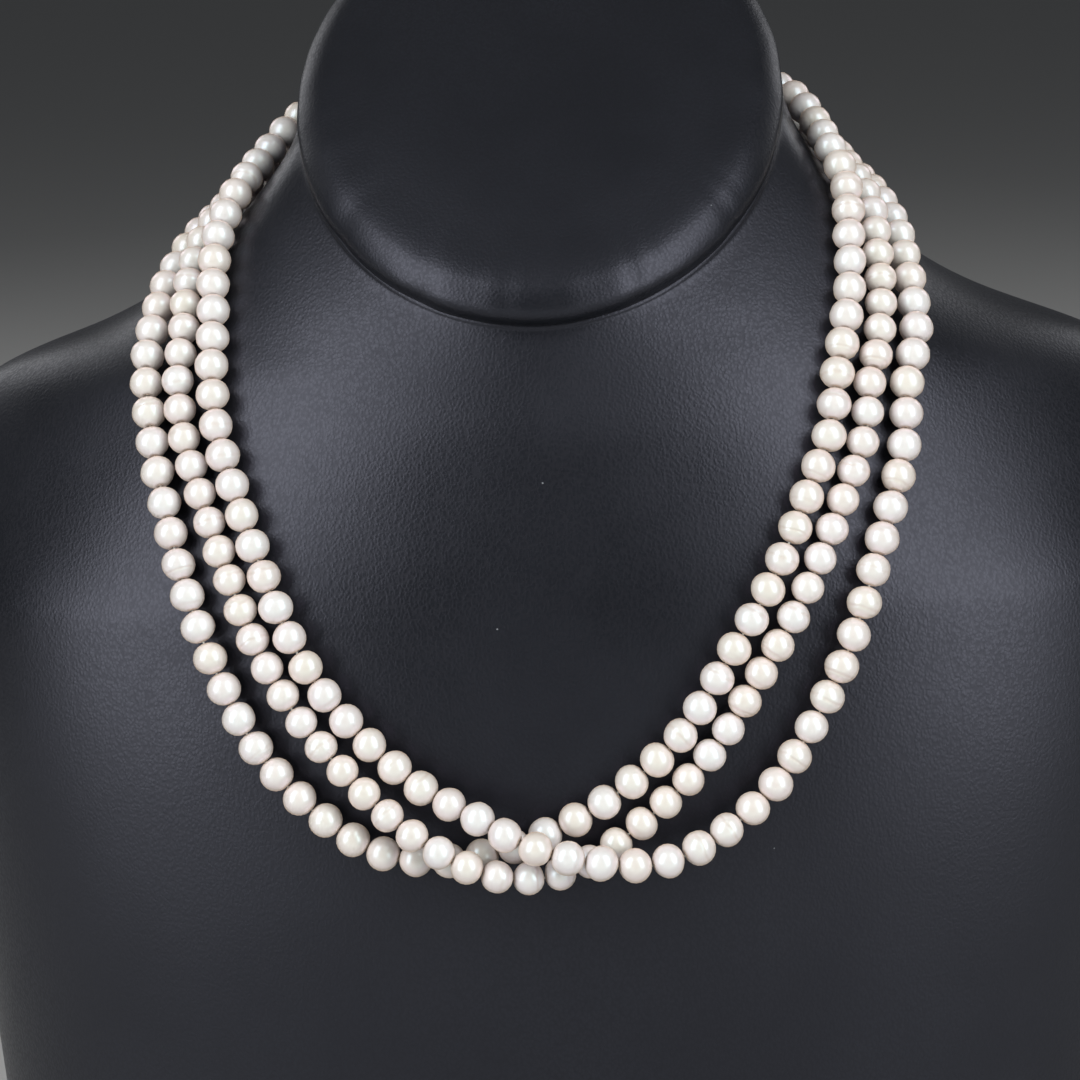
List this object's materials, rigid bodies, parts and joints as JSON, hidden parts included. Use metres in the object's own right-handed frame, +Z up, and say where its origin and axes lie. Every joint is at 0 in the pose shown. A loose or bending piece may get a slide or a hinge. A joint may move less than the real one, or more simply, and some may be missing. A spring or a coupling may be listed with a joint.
{
  "type": "multi strand pearl necklace on a neck bust",
  "caption": "Necklace of near-round pearls in several strands that cross at the front, closed behind the neck, worn by a plain leather-covered neck bust with a slanted padded oval face.",
  "frame": {"origin": "centre of the bounding box at the height of the flat base", "axes": "+Z up, -Y towards the front of the chest, +X to the right as seen from the front"},
  "size_m": [0.245, 0.1254, 0.2648],
  "materials": {
    "bust_leather": "near-black grained leather, satin",
    "pad_leather": "near-black grained leather over a soft pad, satin",
    "pearl": "cream nacre with soft luster",
    "thread": "white silk",
    "clasp_metal": "polished gold tone"
  },
  "bodies": {
    "root": {"bust_form": "bust_leather", "neck_pad": "pad_leather", "top_strand_pearls": "pearl", "middle_strand_pearls": "pearl", "under_strand_pearls": "pearl", "top_strand_thread": "thread", "middle_strand_thread": "thread", "under_strand_thread": "thread", "clasp": "clasp_metal"}
  },
  "joints": []
}
